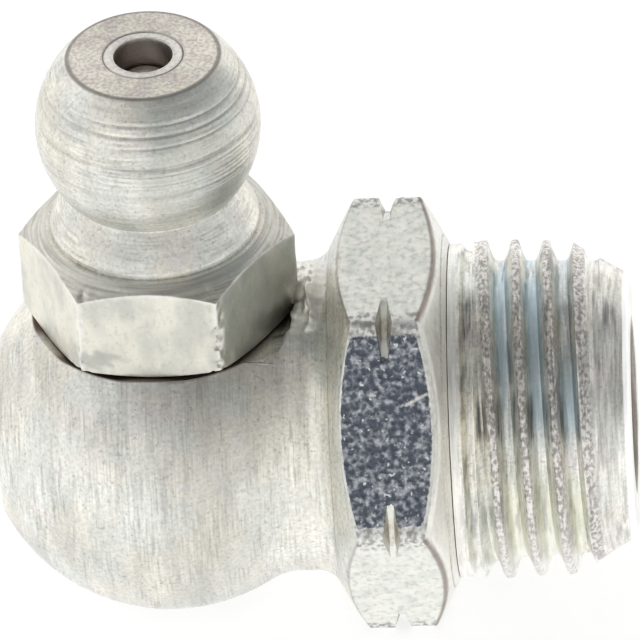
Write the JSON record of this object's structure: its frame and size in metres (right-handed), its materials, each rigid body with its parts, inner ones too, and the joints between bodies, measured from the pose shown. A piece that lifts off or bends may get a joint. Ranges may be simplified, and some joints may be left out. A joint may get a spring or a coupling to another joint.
{
  "type": "grease nipple",
  "caption": "Right-angle grease nipple: a short taper-threaded shank with a hex flange and ball elbow, and a pressed-in hex head whose coupler ball holds a sprung check valve.",
  "frame": {"origin": "on the shank's axis, in the gauge plane of its taper thread, where the fitting meets the face of its port", "axes": "+X along the shank, out of its tip; +Z along the nipple head's axis, out of its mouth; +Y square to both"},
  "size_m": [0.0184, 0.0128, 0.0184],
  "materials": {
    "plated_elbow": "bright zinc plate over turned steel, with fine turning marks",
    "plated_head": "bright zinc plate over turned and milled steel",
    "ball_steel": "ground and hardened",
    "spring_steel": "drawn wire"
  },
  "bodies": {
    "fitting": {"elbow_body": "plated_elbow", "nipple_head": "plated_head", "valve_spring": "spring_steel"},
    "ball": {"check_ball": "ball_steel"}
  },
  "joints": [
    {"name": "ball_lift", "type": "slide", "parent": "fitting", "child": "ball", "axis": [0, 0, -1], "range_m": [0, 0.001], "stiffness_N_per_m": 300, "springref_m": -0.0015, "deforming": ["valve_spring"]}
  ]
}
